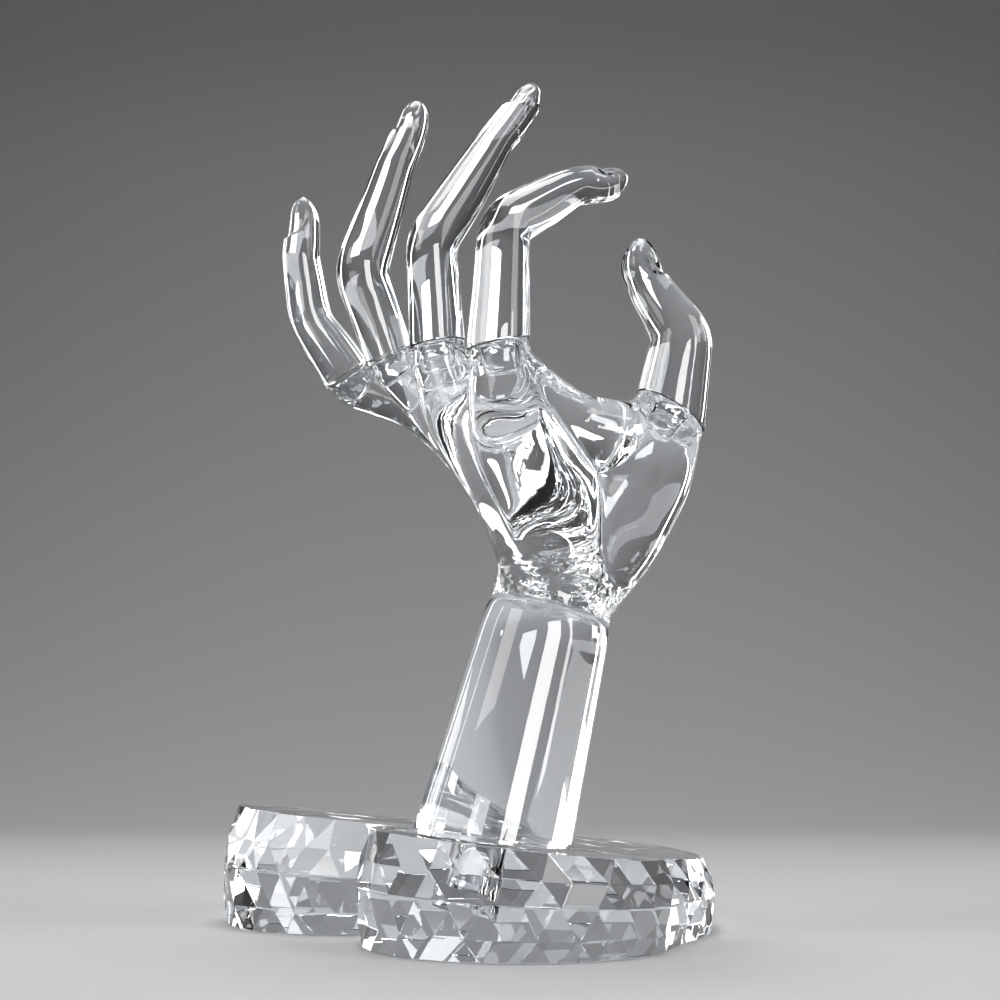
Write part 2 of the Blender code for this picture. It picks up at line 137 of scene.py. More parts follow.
# Rows of the stand's wall: share of its height, inset, 1 for half a step round or 0, and the most by which its
# corners are cut deeper than the inset
WALL_ROWS = ((0.0, 1.4, 0, 0.0), (0.19, 0.0, 1, 2.2), (0.49, 0.09, 0, 0.0), (0.5, 0.0, 0, 0.0),
             (0.51, 0.09, 0, 0.0), (0.74, 0.0, 1, 2.6), (1.0, 3.0, 0, 0.0))
# The depth of each corner's cut follows from the last by the golden section, so that no two are alike
CUT_TURN = 0.618034
CUT_START = 0.75


class Finish(NamedTuple):
    """A finish of the acrylic.

    wave_size is how many waves its skin has in a metre, wave_depth their depth in millimetres, and hairlines the
    roughness of its fine scratches. bend is its refractive index and tint its colour, where they aren't those of
    the settings, and clear is the share of light that it lets through.
    """
    wave_size: float
    wave_depth: float
    hairlines: float
    bend: float = None
    tint: tuple = None
    clear: float = 1.0


FINISHES = {
    "cut_acrylic": Finish(40.0, 0.004, 0.05),
    "arm_acrylic": Finish(30.0, 0.004, 0.04),
    "palm_acrylic": Finish(110.0, 0.02, 0.04),
    "finger_acrylic": Finish(60.0, 0.006, 0.04),
    # Wall of a peg or its socket: the cement between them all but hides it
    "wetted_fit": Finish(200.0, 0.1, 0.0, bend=1.06, tint=WHITE),
    # Face where a finger sits on the palm, crinkled by the cement
    "cemented_seam": Finish(420.0, 0.35, 0.25, bend=1.2, tint=WHITE),
    # Face between the arm and the palm, crinkled and whitened by the cement
    "cemented_wrist": Finish(420.0, 0.45, 0.3, tint=WHITE, clear=0.2),
}
HAIRLINE_STRETCH = (900.0, 140.0, 1700.0)  # hairlines per metre along their own x, y and z
HAIRLINE_TURN = (0.4, 0.9, 0.2)  # the way that they run
HAIRLINE_CUT = (0.66, 0.74)  # levels of the noise between which they fade in
WAVE_DETAIL, WAVE_ROUGHNESS = 1.0, 0.35
COOL = (0.965, 0.985, 1.0)  # tint of the waves' crests

# Floor in metres: half its width, its front end, the wall behind, the bend between them and the wall's top
FLOOR_HALF_WIDTH, FLOOR_FRONT, WALL_BACK, WALL_BEND, WALL_TOP = 2.4, -2.4, 1.5, 0.9, 2.6
FLOOR_CLEARANCE = 0.0002
BEND_POINTS = 24
CARD_ROUGHNESS = 0.62
MOTTLE_SCALE, MOTTLE_SHADE = 5.0, 0.985
SENSOR_WIDTH = 36.0
CAMERA_REACH = (0.01, 20.0)

# Cards that show only in the acrylic: the way from the hand in degrees from +Y towards +X, distance, height,
# width and height of the card in metres, and brightness
HAND = (0.01, -0.035, 0.11)
CARDS = {
    "back_left_card": (-42.0, 0.72, 0.34, 0.03, 0.60, 11.0),
    "back_right_card": (44.0, 0.72, 0.34, 0.025, 0.60, 11.0),
    "left_card": (-80.0, 0.72, 0.34, 0.036, 0.60, 7.0),
    "right_card": (83.0, 0.72, 0.34, 0.03, 0.60, 7.0),
    "front_card": (158.0, 1.00, 0.28, 0.40, 0.60, 18.0),
    "front_strip": (128.0, 1.00, 0.28, 0.10, 0.60, 14.0),
    "low_front_left_card": (-137.0, 0.55, 0.10, 0.30, 0.19, 4.0),
    "low_left_card": (-62.0, 0.60, 0.16, 0.22, 0.22, 5.0),
    "low_front_card": (-150.0, 0.24, 0.03, 0.10, 0.10, 5.0),
    "low_back_left_card": (-36.0, 0.80, 0.05, 0.10, 0.10, 2.0),
    "low_back_card": (9.0, 0.80, 0.10, 0.10, 0.10, 0.7),
    "low_back_right_card": (30.0, 0.80, 0.05, 0.10, 0.10, 2.0),
    "high_back_card": (10.0, 0.80, 0.40, 0.20, 0.10, 2.0),
    "near_left_card": (-54.0, 0.35, 0.06, 0.14, 0.10, 1.0),
}
# Soft boxes: place, target, width and height in metres, and power in watts
LAMPS = {
    "top_box": ((0.0, -0.05, 1.10), (0.01, -0.035, 0.0), 0.60, 0.60, 8.5),
    "left_fill": ((-0.85, -0.55, 0.75), (0.01, -0.035, 0.05), 0.50, 0.50, 4.0),
    "right_fill": ((0.85, -0.55, 0.75), (0.01, -0.035, 0.05), 0.50, 0.50, 4.0),
}


# Settings

def length(label, default, about):
    """A size that a user would change."""
    return FloatProperty(name=label, description=about, default=default, min=0.0, subtype="DISTANCE", unit="LENGTH")


def angle(label, degrees, about):
    """An angle that a user would change."""
    return FloatProperty(name=label, description=about, default=math.radians(degrees), subtype="ANGLE",
                         unit="ROTATION")


def share(label, default, about):
    """A share from none to all."""
    return FloatProperty(name=label, description=about, default=default, min=0.0, max=1.0, subtype="FACTOR")


class PracticeHandStandSettings(bpy.types.PropertyGroup):
    """The heart block."""
    lobe_radius: length("Lobe radius", 0.036, "Radius of each round lobe of the heart")
    lobe_offset: length("Lobe offset", 0.031, "From the heart's middle line to the centre of a lobe")
    tip_reach: length("Tip reach", 0.078, "From the line through the lobes to the end of the tip")
    tip_radius: length("Tip radius", 0.0155, "Rounding of the heart's tip")
    side_bulge: length("Side bulge", 0.008, "How far the sides swell between a lobe and the tip")
    heart_turn: angle("Heart turn", 38.5, "The way that the tip points, from +X")
    height: length("Height", 0.0235, "Height of the top above the origin")
    top_fall: angle("Top fall", 5.9, "Slope of the top, down towards +X")
    facets: IntProperty(name="Facets", description="Corners of each row round the heart", default=52, min=12)
    arris: length("Arris", 0.00018, "Half width of the polished edge between two facets")


class PracticeHandArmSettings(bpy.types.PropertyGroup):
    """The leaning arm."""
    from_lobe: FloatVectorProperty(name="From lobe", description="The foot's centre from the near lobe's centre",
                                   default=(-0.0057, -0.008), size=2, subtype="XYZ", unit="LENGTH")
    lean: angle("Lean", 14.5, "Lean of the arm from upright")
    turn: angle("Turn", 8.0, "The way that the arm leans, from +X")
    reach: length("Length", 0.0522, "From the foot to the wrist")
    foot_radius: length("Foot radius", 0.0173, "Radius at the foot")
    top_radius: length("Wrist radius", 0.0142, "Radius at the wrist")
    shoulder: length("Shoulder", 0.0022, "Rounding of the wrist's edge")
    foot_round: length("Foot round", 0.001, "Rounding of the foot's edge")
    spigot_radius: length("Spigot radius", 0.005, "Radius of the spigot under the arm")
    spigot_length: length("Spigot length", 0.012, "Length of the spigot under the arm")


class PracticeHandFitSettings(bpy.types.PropertyGroup):
    """Fits between the mouldings, and the nail beds."""
    seat_gap: length("Seat gap", 0.0003, "Gap between two mouldings that meet face to face")
    peg_clearance: length("Peg clearance", 0.0003, "Gap round a peg in its socket")
    socket_spare: length("Socket spare", 0.0006, "How much deeper than its peg a socket is")
    peg_radius: length("Peg radius", 0.0027, "Radius of a finger's peg")
    peg_length: length("Peg length", 0.0055, "Length of a finger's peg")
    peg_round: length("Peg round", 0.0014, "Rounding of a peg's tip")
    nail_length: length("Nail length", 0.0115, "Length of a nail bed")
    nail_depth: length("Nail depth", 0.0008, "Depth of a nail bed")
    nail_width: share("Nail width", 0.86, "Half width of a nail bed as a share of the finger's radius")
    nail_base: share("Nail base", 0.6, "How far the cuticle bows, as a share of the nail's half width")
    nail_edge: length("Nail edge", 0.0006, "Width of the step round a nail bed")


class PracticeHandFinishSettings(bpy.types.PropertyGroup):
    """How finely the skins are made, and the look of the acrylic."""
    finger_sides: IntProperty(name="Finger sides", description="Points round a finger", default=72, min=12)
    finger_step: length("Finger step", 0.0004, "Distance between the rings of a finger")
    palm_grain: length("Palm grain", 0.0006, "Size of the cells that the palm is melted from")
    palm_easing: IntProperty(name="Palm easing", description="Rounds of smoothing on the palm", default=62, min=0)
    tint: FloatVectorProperty(name="Tint", description="Colour of the clear acrylic", default=(0.965, 0.978, 0.99),
                              size=3, min=0.0, max=1.0, subtype="COLOR")
    haze: share("Haze", 0.0, "Roughness of the polished skin between its hairlines")
    bend: FloatProperty(name="Refraction", description="Refractive index of acrylic", default=1.49, min=1.0)


class PracticeHandStageSettings(bpy.types.PropertyGroup):
    """Floor, lamps and camera."""
    floor_colour: FloatVectorProperty(name="Floor", description="Colour of the floor and backdrop",
                                      default=(0.58, 0.585, 0.595), size=3, min=0.0, max=1.0, subtype="COLOR")
    room_level: FloatProperty(name="Room", description="Brightness of the room", default=0.05, min=0.0)
    camera_place: FloatVectorProperty(name="Camera", description="Place of the camera",
                                      default=(0.0153, -0.3362, 0.03595), size=3, subtype="TRANSLATION",
                                      unit="LENGTH")
    camera_pitch: angle("Pitch", 11.57, "How far the camera looks up")
    focal: FloatProperty(name="Focal length", description="Focal length of the camera, in millimetres",
                         default=48.64, min=1.0, subtype="DISTANCE_CAMERA", unit="CAMERA")


# Shapes

def leaning(lean, turn):
    """Unit vector that leans from upright by one angle towards a compass direction, in degrees."""
    tilt, way = math.radians(lean), math.radians(turn)
    return Vector((math.sin(tilt) * math.cos(way), math.sin(tilt) * math.sin(way), math.cos(tilt)))


def add_smooth(name, form):
    """Turn a bmesh into an object with smooth faces."""
    mesh = bpy.data.meshes.new(name)
    form.to_mesh(mesh)
    form.free()
    mesh.shade_smooth()
    thing = bpy.data.objects.new(name, mesh)
    bpy.context.scene.collection.objects.link(thing)
    return thing


def add_form(name, form, sharp=SHARP_EDGE):
    """Turn a bmesh in millimetres into an object with smooth faces and sharp edges."""
    bmesh.ops.scale(form, vec=(MM, MM, MM), verts=form.verts)
    bmesh.ops.recalc_face_normals(form, faces=form.faces)
    thing = add_smooth(name, form)
    if sharp:
        thing.data.set_sharp_from_angle(angle=sharp)
    return thing


def add_piece(name, form, body, node, sharp=SHARP_EDGE):
    """Add a piece that rides on a body and stands for its node, which it hides."""
    piece = add_form(name, form, sharp)
    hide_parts(node)
    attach(piece, body)
    return piece


def loft(rings, form=None):
    """Skin closed rings of equal length and cap both ends."""
    form = form or bmesh.new()
    rows = [[form.verts.new(point) for point in ring] for ring in rings]
    for low, high in zip(rows, rows[1:]):
        for k in range(len(low)):
            n = (k + 1) % len(low)
            form.faces.new((low[k], low[n], high[n], high[k]))
    form.faces.new(list(reversed(rows[0])))
    form.faces.new(rows[-1])
    return form


def circle(centre, axis, radius, sides, across=None):
    """Points of a circle square to an axis, counted from a reference direction."""
    axis = Vector(axis).normalized()
    across = Vector(across or ((1.0, 0.0, 0.0) if abs(axis.z) > 0.9 else (0.0, 0.0, 1.0)))
    side = (across - axis * across.dot(axis)).normalized()
    up = axis.cross(side)
    steps = (2 * math.pi * k / sides for k in range(sides))
    return [Vector(centre) + float(radius) * (math.cos(a) * side + math.sin(a) * up) for a in steps]


def turned(start, axis, profile, sides, form=None):
    """A turned solid from stations of distance along an axis and radius."""
    axis = Vector(axis).normalized()
    rings = [circle(Vector(start) + axis * float(reach), axis, radius, sides) for reach, radius in profile]
    return loft(rings, form)


def domed_end(radius, rounding):
    """Profile of a bar's flat end with a rounded edge."""
    return [(rounding * (1 - math.cos(a)), radius - rounding * (1 - math.sin(a)))
            for a in np.linspace(0, math.pi / 2, DOME_POINTS)]


def over_seat(point, centre, outward):
    """How far a point lies over a seat's plane, and how far from the seat's axis."""
    arm = Vector(point) - centre
    over = arm.dot(outward)
    return over, (arm - outward * over).length


def smooth_step(value):
    """Ease from 0 to 1 as a value goes from 0 to 1."""
    value = min(max(value, 0.0), 1.0)
    return value * value * (3 - 2 * value)


def wrinkle_at(point):
    """Height of the cement's wrinkles at a point, from 0 to about 1."""
    place = Vector([size * value for size, value in zip(WRINKLE_SIZE, point)])
    return noise.turbulence(place, WRINKLE_OCTAVES, True, noise_basis="PERLIN_NEW")


def cut_flat(form, point, normal):
    """Cut away what lies on the normal's side of a plane and close the cut."""
    parts = form.verts[:] + form.edges[:] + form.faces[:]
    bmesh.ops.bisect_plane(form, geom=parts, plane_co=point, plane_no=normal, clear_outer=True)
    open_edges = [edge for edge in form.edges if edge.is_boundary]
    bmesh.ops.contextual_create(form, geom=open_edges)
    return form


def settle(piece, other, operation):
    """Join or cut a piece with another shape by an exact Boolean, and keep the result as its mesh."""
    step = piece.modifiers.new(other.name, "BOOLEAN")
    step.operation = operation
    step.solver = "EXACT"
    step.object = other
    bake(piece)
    bpy.data.objects.remove(other, do_unlink=True)
    return piece


def bake(piece):
    """Keep what a piece's modifiers make as its own mesh."""
    bpy.context.view_layer.update()
    depsgraph = bpy.context.evaluated_depsgraph_get()
    made = bpy.data.meshes.new_from_object(piece.evaluated_get(depsgraph), depsgraph=depsgraph)
    if not made.polygons:
        raise RuntimeError(f"{piece.name} has no faces left")
    made.name = piece.name
    piece.modifiers.clear()
    piece.data = made


# Heart stand

def heart_outline(stand, inset):
    """Closed outline of the heart, drawn in by an inset, from the tip round and back."""
    lobe = stand.lobe_radius / MM - inset
    nose = stand.tip_radius / MM - inset
    offset = stand.lobe_offset / MM
    centre = np.array([0.0, offset])
    nose_centre = np.array([(stand.tip_reach - stand.tip_radius) / MM, 0.0])
    across = centre - nose_centre
    facing = math.atan2(across[1], across[0]) - math.acos((nose - lobe) / np.hypot(*across))
    outward = np.array([math.cos(facing), math.sin(facing)])
    notch = math.pi + math.asin(offset / lobe) if offset < lobe else 1.5 * math.pi
    start, end = nose_centre + nose * outward, centre + lobe * outward
    half = [nose_centre + nose * np.array([math.cos(a), math.sin(a)]) for a in np.linspace(0, facing, NOSE_POINTS)]
    for part in np.linspace(0, 1, SIDE_POINTS)[1:-1]:
        swell = stand.side_bulge / MM * 4 * part * (1 - part)
        half.append(start + (end - start) * part + outward * swell)
    half += [centre + lobe * np.array([math.cos(a), math.sin(a)]) for a in np.linspace(facing, notch, LOBE_POINTS)]
    half = np.array(half)
    return np.vstack([half, half[-2:0:-1] * [1, -1]])


def stand_top(stand, x):
    """Height of the sloping top above the underside, in millimetres."""
    return stand.height / MM - x * math.tan(stand.top_fall)


def wall_row(stand, height_share, inset, places):
    """Points round the stand's wall at a share of its height and at places from 0 to 1."""
    outline = heart_outline(stand, inset)
    closed = np.vstack([outline, outline[:1]])
    along = np.concatenate([[0.0], np.cumsum(np.hypot(*np.diff(closed, axis=0).T))])
    x, y = (np.interp(places * along[-1], along, column) for column in closed.T)
    turn = stand.heart_turn
    world_x = x * math.cos(turn) - y * math.sin(turn)
    world_y = x * math.sin(turn) + y * math.cos(turn)
    return [Vector((a, b, height_share * stand_top(stand, a))) for a, b in zip(world_x, world_y)]


def facet_row(stand, row):
    """Corners of one row of facets, each moved to its own depth by a unit step inwards times the row's play."""
    height_share, inset, half_step, play = row
    places = (np.arange(stand.facets) + 0.5 * half_step) / stand.facets
    outer = wall_row(stand, height_share, inset, places)
    inner = wall_row(stand, height_share, inset + 1.0, places)
    return [a + (b - a) * play * ((k * CUT_TURN + height_share + CUT_START) % 1.0)
            for k, (a, b) in enumerate(zip(outer, inner))]


def make_stand(scene):
    """The heart block: four bands of triangles with polished arrises, a mould line and the arm's socket."""
    stand, arm, fits = scene.hand_stand, scene.hand_arm, scene.hand_fits
    form = bmesh.new()
    rings = [[form.verts.new(point) for point in facet_row(stand, row)] for row in WALL_ROWS]
    for low, high, low_row, high_row in zip(rings, rings[1:], WALL_ROWS, WALL_ROWS[1:]):
        low_step, high_step = low_row[2], high_row[2]
        for k in range(stand.facets):
            n = (k + 1) % stand.facets
            if low_step == high_step:
                form.faces.new((low[k], low[n], high[n], high[k]))
            elif low_step:
                form.faces.new((low[k], high[n], high[k]))
                form.faces.new((low[k], low[n], high[n]))
            else:
                form.faces.new((low[k], low[n], high[k]))
                form.faces.new((low[n], high[n], high[k]))
    form.faces.new(list(reversed(rings[0])))
    form.faces.new(rings[-1])
    bmesh.ops.recalc_face_normals(form, faces=form.faces)
    bmesh.ops.bevel(form, geom=form.edges[:], offset=stand.arris / MM, segments=1, affect="EDGES",
                    clamp_overlap=True)
    piece = add_piece("cut_heart_stand", form, "stand", "heart_stand", CUT_EDGE)
    foot, axis = arm_foot(scene), arm_axis(arm)
    depth = (arm.spigot_length + fits.socket_spare) / MM
    radius = (arm.spigot_radius + fits.peg_clearance) / MM
    bore = turned(foot - axis * depth, axis, ((0.0, radius), (2 * depth, radius)), BAR_SIDES)
    return settle(piece, add_form("socket_cutter", bore), "DIFFERENCE")


# Arm

def arm_axis(arm):
    """Direction of the arm, from its foot to the wrist."""
    return leaning(math.degrees(arm.lean), math.degrees(arm.turn))


def arm_foot(scene):
    """Centre of the arm's foot on the top of the stand, in millimetres."""
    stand, arm = scene.hand_stand, scene.hand_arm
    x = (stand.lobe_offset * math.sin(stand.heart_turn) + arm.from_lobe[0]) / MM
    y = (-stand.lobe_offset * math.cos(stand.heart_turn) + arm.from_lobe[1]) / MM
    return Vector((x, y, stand_top(stand, x)))


def wrist_centre(scene):
    """Centre of the arm's top face, in millimetres."""
    return arm_foot(scene) + arm_axis(scene.hand_arm) * scene.hand_arm.reach / MM


def make_arm(scene):
    """The tapered column with its rounded shoulder, wrinkled hollow top, flush foot and slanting spigot."""
    stand, arm, fits = scene.hand_stand, scene.hand_arm, scene.hand_fits
    foot, axis = arm_foot(scene), arm_axis(arm)
    low, high, reach = arm.foot_radius / MM, arm.top_radius / MM, arm.reach / MM
    shoulder = arm.shoulder / MM
    slope = (low - high) / reach
    straight = reach - shoulder
    profile = [(-low, low + slope * low)]
    profile += [(along, low - slope * along) for along in np.linspace(0.0, straight, TAPER_POINTS)]
    for turn in np.linspace(0, math.pi / 2, SHOULDER_POINTS)[1:]:
        profile.append((straight + shoulder * math.sin(turn), high - shoulder * (1 - math.cos(turn))))
    rim_radius = profile[-1][1]
    for part in np.linspace(*DISH_RINGS, DISH_POINTS):
        profile.append((reach - WRIST_DISH * (1 - part * part), rim_radius * part))
    form = turned(foot, axis, profile, ARM_SIDES)
    upright = Vector((math.sin(stand.top_fall), 0.0, math.cos(stand.top_fall)))
    gap = fits.seat_gap / MM
    cut_flat(form, foot + upright * gap, -upright)
    rim = [edge for edge in form.edges if all(abs((v.co - foot).dot(upright) - gap) < 0.001 for v in edge.verts)]
    bmesh.ops.bevel(form, geom=rim, offset=arm.foot_round / MM, segments=FOOT_ROUND_STEPS, affect="EDGES")
    for vertex in form.verts:
        over, aside = over_seat(vertex.co, foot + axis * reach, axis)
        if -2.0 * WRIST_DISH < over < -HAIR and aside < DISH_SHARE * rim_radius:
            vertex.co -= axis * WRINKLE_DEPTH * wrinkle_at(vertex.co)
    piece = add_piece("clear_forearm", form, "hand", "forearm")
    length_below, radius = arm.spigot_length / MM, arm.spigot_radius / MM
    spigot = turned(foot - axis * length_below, axis, ((0.0, radius), (length_below + radius, radius)), BAR_SIDES)
    return settle(piece, add_form("spigot_form", spigot), "UNION")


# Fingers

def soften(values, span):
    """Moving average that rounds the corners of a run of samples and keeps its ends."""
    count = max(int(span), 1)
    weights = np.hanning(count + 2)[1:-1]
    weights /= weights.sum()
    head = 2 * values[0] - values[count:0:-1]
    tail = 2 * values[-1] - values[-2:-count - 2:-1]
    padded = np.concatenate([head, values, tail])
    mixed = np.array([np.convolve(column, weights, "same") for column in padded.T]).T
    return mixed[count:count + len(values)]


def root_centre(scene, finger):
    """Centre of a finger's seat, carried by the wrist."""
    return wrist_centre(scene) + Vector(finger.root)


def finger_path(scene, finger, below, step):
    """Samples along a finger's centre line with its places, its radius and the swell of its pads."""
    joints = [root_centre(scene, finger)]
    for reach, lean in zip(finger.lengths, finger.leans):
        joints.append(joints[-1] + leaning(lean, finger.turn) * reach)
    joints.insert(0, joints[0] - leaning(finger.leans[0], finger.turn) * below)
    points = np.array([list(joint) for joint in joints])
    reach = np.concatenate([[0.0], np.cumsum(np.linalg.norm(np.diff(points, axis=0), axis=1))]) - below
    knees = reach[1:]
    middles = (knees[:-1] + knees[1:]) / 2
    stations = [-below, knees[0], middles[0], knees[1], middles[1], knees[2], knees[3]]
    samples = np.arange(-below, knees[-1] + step / 10, step)
    path = np.array([np.interp(samples, reach, points[:, axis]) for axis in range(3)]).T
    thick = np.interp(samples, stations, (finger.radii[0],) + finger.radii)
    pads = np.zeros(len(samples))
    for start, end, swell in zip(knees, knees[1:], PAD_SWELL):
        pads += swell * np.sin(np.pi * np.clip((samples - start) / (end - start), 0.0, 1.0))
    span = KNUCKLE_SOFTNESS / step
    thick = soften(thick[:, None], span)[:, 0]
    pads = soften(pads[:, None], PAD_SOFTNESS / step)[:, 0]
    return samples, soften(path, span), thick, pads


def nail_mask(behind_tip, aside, half_width, bed, bow, edge):
    """How much of the nail bed's depth applies at a point: 1 inside, 0 outside, with a soft step between."""
    outside = abs(aside) - half_width
    past_base = behind_tip - (bed - bow)
    if past_base > 0:
        reach = math.hypot(past_base / bow, aside / half_width)
        outside = (reach - 1) * bow
    return smooth_step(0.5 - outside / edge) * smooth_step(behind_tip / NAIL_RUN_OUT)


def finger_rings(scene, finger):
    """Rings of a finger from below its seat to its round tip, with its pads and the nail bed pressed in."""
    fits, finish = scene.hand_fits, scene.hand_finish
    step = finish.finger_step / MM
    below = 2.0 * finger.radii[0]
    samples, path, thick, pads = finger_path(scene, finger, below, step)
    end = samples[-1]
    rounding = TIP_ROUND * finger.radii[-1]
    body = list(np.arange(-below, end - rounding, step))
    crown = [end - rounding * (1 - math.sin(a)) for a in TIP_TURNS]
    across = leaning(90.0, finger.turn + 90.0)
    bed = fits.nail_length / MM
    half_width = fits.nail_width * float(thick[-1 - round(bed / step)])
    bow = fits.nail_base * half_width
    rings = []
    for place in body + crown:
        centre, fore, aft = (Vector([np.interp(place + shift, samples, path[:, axis]) for axis in range(3)])
                             for shift in (0.0, 1.0, -1.0))
        whole = float(np.interp(place, samples, thick))
        past = (place - (end - rounding)) / rounding
        radius = max(whole * math.sqrt(max(1 - past * past, 0.0)) if past > 0 else whole, SMALLEST_RING)
        inward = across.cross(fore - aft).normalized()
        swell = float(np.interp(place, samples, pads)) * radius / whole
        behind_tip = end - place
        ring = []
        for point in circle(centre, fore - aft, radius, finish.finger_sides, across):
            spoke = (point - centre).normalized()
            point = point + inward * swell * max(spoke.dot(inward), 0.0)
            if behind_tip < bed + NAIL_MARGIN:
                rise = -spoke.dot(inward) * radius
                mask = nail_mask(behind_tip, spoke.dot(across) * radius, half_width, bed, bow, fits.nail_edge / MM)
                depth = fits.nail_depth / MM * mask * smooth_step((rise - NAIL_FLANK) / NAIL_RISE)
                point = point - spoke * min(depth, NAIL_DEEPEST * radius)
            ring.append(point)
        rings.append(ring)
    return rings


def seat(scene, finger):
    """Centre and outward direction of a finger's seat on the palm."""
    return root_centre(scene, finger), leaning(finger.seat_lean, finger.turn)


def make_finger(scene, name):
    """A finger with its nail bed and the peg that holds it in the palm."""
    finger, fits = FINGERS[name], scene.hand_fits
    centre, outward = seat(scene, finger)
    form = cut_flat(loft(finger_rings(scene, finger)), centre + outward * fits.seat_gap / MM, -outward)
    piece = add_piece("clear_" + name, form, "hand", name)
    depth, radius = fits.peg_length / MM, fits.peg_radius / MM
    profile = domed_end(radius, fits.peg_round / MM) + [(depth + radius, radius)]
    peg = turned(centre - outward * depth, outward, profile, BAR_SIDES)
    return settle(piece, add_form("peg_form", peg), "UNION")


# Palm

def ridge(form, stations):
    """Add a rounded ridge through stations of centre and radius to a form."""
    stations = np.array(stations, dtype=float)
    reach = np.concatenate([[0.0], np.cumsum(np.linalg.norm(np.diff(stations[:, :3], axis=0), axis=1))])
    samples = np.arange(0.0, reach[-1], RIDGE_STEP)
    run = np.array([np.interp(samples, reach, stations[:, axis]) for axis in range(4)]).T
    run = soften(run, BEND_SOFTNESS / RIDGE_STEP)
    rings = []
    for k in range(0, len(run), 2):  # every second sample makes a ring
        ahead = run[min(k + 1, len(run) - 1), :3] - run[max(k - 1, 0), :3]
        rings.append(circle(run[k, :3], ahead, float(run[k, 3]), RIDGE_SIDES, (0.0, 1.0, 0.0)))
    loft(rings, form)


def from_wrist(scene, stations):
    """Stations of a ridge carried by the wrist."""
    wrist = wrist_centre(scene)
    return [tuple(wrist + Vector(station[:3])) + (station[3],) for station in stations]


def near_ridge(point, stations):
    """1 near a ridge's centre line, easing to 0 at its radius."""
    best = 0.0
    for start, end in zip(stations, stations[1:]):
        a, b = Vector(start[:3]), Vector(end[:3])
        part = min(max((point - a).dot(b - a) / (b - a).length_squared, 0.0), 1.0)
        radius = start[3] + (end[3] - start[3]) * part
        best = max(best, 1.0 - (point - a.lerp(b, part)).length / radius)
    return smooth_step(2.0 * best)


def socket_size(fits):
    """Radius and depth of a finger's socket, in millimetres."""
    return (fits.peg_radius + fits.peg_clearance) / MM, (fits.peg_length + fits.socket_spare) / MM


def trimmed_seats(scene):
    """Centre, outward direction and radius of each flat face that is cut on the palm for a finger."""
    return [(*seat(scene, finger), finger.radii[0] + SEAT_TRIM) for finger in FINGERS.values()]


def wrinkle(scene, palm):
    """Press fine wrinkles into the palm's back, and where the cement was squeezed out."""
    wrist, axis = wrist_centre(scene), arm_axis(scene.hand_arm)
    band = from_wrist(scene, WRINKLED_BACK)
    seats = trimmed_seats(scene)
    normals = [vertex.normal.copy() for vertex in palm.data.vertices]
    for vertex, normal in zip(palm.data.vertices, normals):
        point = vertex.co / MM
        share_here = smooth_step(1.0 - (point - wrist).dot(axis) / WRIST_WRINKLES)
        for centre, outward, trim in seats:
            over, aside = over_seat(point, centre, outward)
            if aside < trim:
                share_here = max(share_here, smooth_step(1.0 + over / SEAT_WRINKLES))
        if normal.y > 0.0:
            share_here = max(share_here, near_ridge(point, band) * smooth_step(3.0 * normal.y))
        if share_here > 0.0:
            vertex.co -= normal * WRINKLE_DEPTH * MM * share_here * wrinkle_at(point)


def palm_ridges(scene):
    """The wrist, the ridges that run past each seat, the web and the core, before they are melted together."""
    form = bmesh.new()
    wrist, axis, top = wrist_centre(scene), arm_axis(scene.hand_arm), scene.hand_arm.top_radius / MM
    ridge(form, [tuple(wrist + axis * reach) + (top,) for reach in (-WRIST_STUB, 0.0, WRIST_STUB)])
    for name, stations in PALM_RIDGES.items():
        finger = FINGERS[name]
        forward = leaning(finger.leans[0], finger.turn)
        thick = finger.radii[0]
        # The ridge ends in line with the finger's first bone: one station under the seat and one past its cut
        seated = tuple(root_centre(scene, finger) - forward * thick / 3) + (thick,)
        beyond = tuple(root_centre(scene, finger) + forward * thick * 1.4) + (thick,)
        ridge(form, [tuple(wrist) + (WRIST_CORE,)] + from_wrist(scene, stations) + [seated, beyond])
    ridge(form, from_wrist(scene, THUMB_WEB))
    ridge(form, from_wrist(scene, PALM_CORE))
    return form


def palm_cuts(scene):
    """What is cut off the palm: all below the wrist, and each finger's seat with the socket under it."""
    fits, top = scene.hand_fits, scene.hand_arm.top_radius / MM
    wrist, axis = wrist_centre(scene), arm_axis(scene.hand_arm)
    form = bmesh.new()
    below = wrist + axis * fits.seat_gap / MM - axis * 2.0 * top
    turned(below, axis, ((0.0, 1.5 * top), (2.0 * top, 1.5 * top)), CUTTER_SIDES, form)
    bore, depth = socket_size(fits)
    socket = domed_end(bore, fits.peg_round / MM) + [(depth, bore)]
    for centre, outward, trim in trimmed_seats(scene):
        profile = socket + [(depth, trim), (depth + 2.0 * trim, trim)]
        turned(centre - outward * depth, outward, profile, CUTTER_SIDES, form)
    return form


def make_palm(scene):
    """The palm: ridges melted into one skin, wrinkled, and then cut to fit."""
    finish = scene.hand_finish
    piece = add_piece("clear_palm", palm_ridges(scene), "hand", "palm", None)
    melt = piece.modifiers.new("melt", "REMESH")
    melt.mode = "VOXEL"
    melt.voxel_size = finish.palm_grain
    melt.use_smooth_shade = True
    ease = piece.modifiers.new("ease", "SMOOTH")
    ease.factor = PALM_EASE
    ease.iterations = finish.palm_easing
    bake(piece)
    wrinkle(scene, piece)
    settle(piece, add_form("palm_cuts", palm_cuts(scene)), "DIFFERENCE")
    piece.data.set_sharp_from_angle(angle=SHARP_EDGE)
    return piece


# Materials

